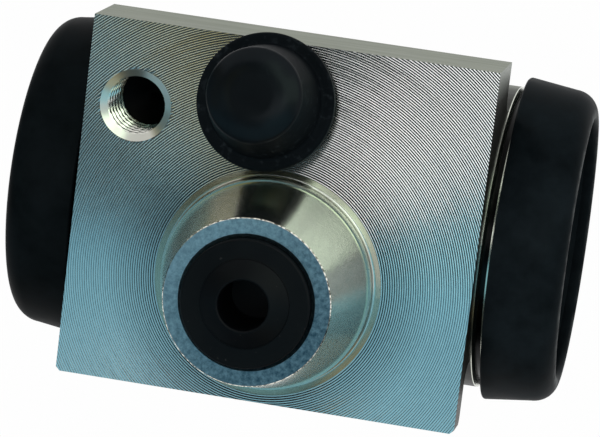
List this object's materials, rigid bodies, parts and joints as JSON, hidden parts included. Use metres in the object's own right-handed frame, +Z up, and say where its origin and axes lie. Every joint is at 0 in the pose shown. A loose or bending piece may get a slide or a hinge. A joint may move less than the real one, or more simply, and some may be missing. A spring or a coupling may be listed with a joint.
{
  "type": "wheel cylinder",
  "caption": "Hydraulic drum-brake wheel cylinder: light-alloy body with turned mounting plate, conical inlet boss, bleed screw with cap and booted slotted pistons.",
  "frame": {"origin": "the point where the axis of the inlet boss meets the mounting face", "axes": "+X along the cylinder bore, +Z up towards the bleed screw, -Y out of the mounting face along the inlet boss"},
  "size_m": [0.0488, 0.04, 0.0325],
  "materials": {
    "alloy": "machined light alloy, concentric turning marks on the mounting face",
    "piston_steel": "dark phosphated steel",
    "seal_rubber": "black seal rubber",
    "sheet_steel": "pressed sheet steel",
    "spring_steel": "drawn spring wire",
    "boot_rubber": "black moulded rubber, satin",
    "plated_steel": "zinc-plated steel",
    "cap_rubber": "black moulded rubber, satin",
    "plug_plastic": "black moulded plastic"
  },
  "bodies": {
    "housing": {"body": "alloy", "return_spring": "spring_steel", "boot_left": "boot_rubber", "boot_right": "boot_rubber"},
    "piston_left": {"piston_left": "piston_steel", "cup_left": "seal_rubber", "expander_left": "sheet_steel"},
    "piston_right": {"piston_right": "piston_steel", "cup_right": "seal_rubber", "expander_right": "sheet_steel"},
    "bleed_screw": {"bleed_screw": "plated_steel"},
    "bleed_cap": {"bleed_cap": "cap_rubber"},
    "port_plug": {"port_plug": "plug_plastic"}
  },
  "joints": [
    {"name": "piston_left_slide", "type": "slide", "parent": "housing", "child": "piston_left", "axis": [-1, 0, 0], "range_m": [-0.0015, 0.0045], "deforming": ["boot_left", "return_spring"]},
    {"name": "piston_right_slide", "type": "slide", "parent": "housing", "child": "piston_right", "axis": [1, 0, 0], "range_m": [-0.0015, 0.0045], "deforming": ["boot_right"]},
    {"name": "bleed_screw_turn", "type": "hinge", "parent": "housing", "child": "bleed_screw", "pos_m": [-0.0016, 0, 0.01547], "axis": [0, -0.9724, 0.2334], "range_deg": [0, 180]},
    {"name": "bleed_cap_pull", "type": "slide", "parent": "bleed_screw", "child": "bleed_cap", "axis": [0, -0.9724, 0.2334], "range_m": [0, 0.01]},
    {"name": "port_plug_pull", "type": "slide", "parent": "housing", "child": "port_plug", "axis": [0, -1, 0], "range_m": [0, 0.01]}
  ]
}
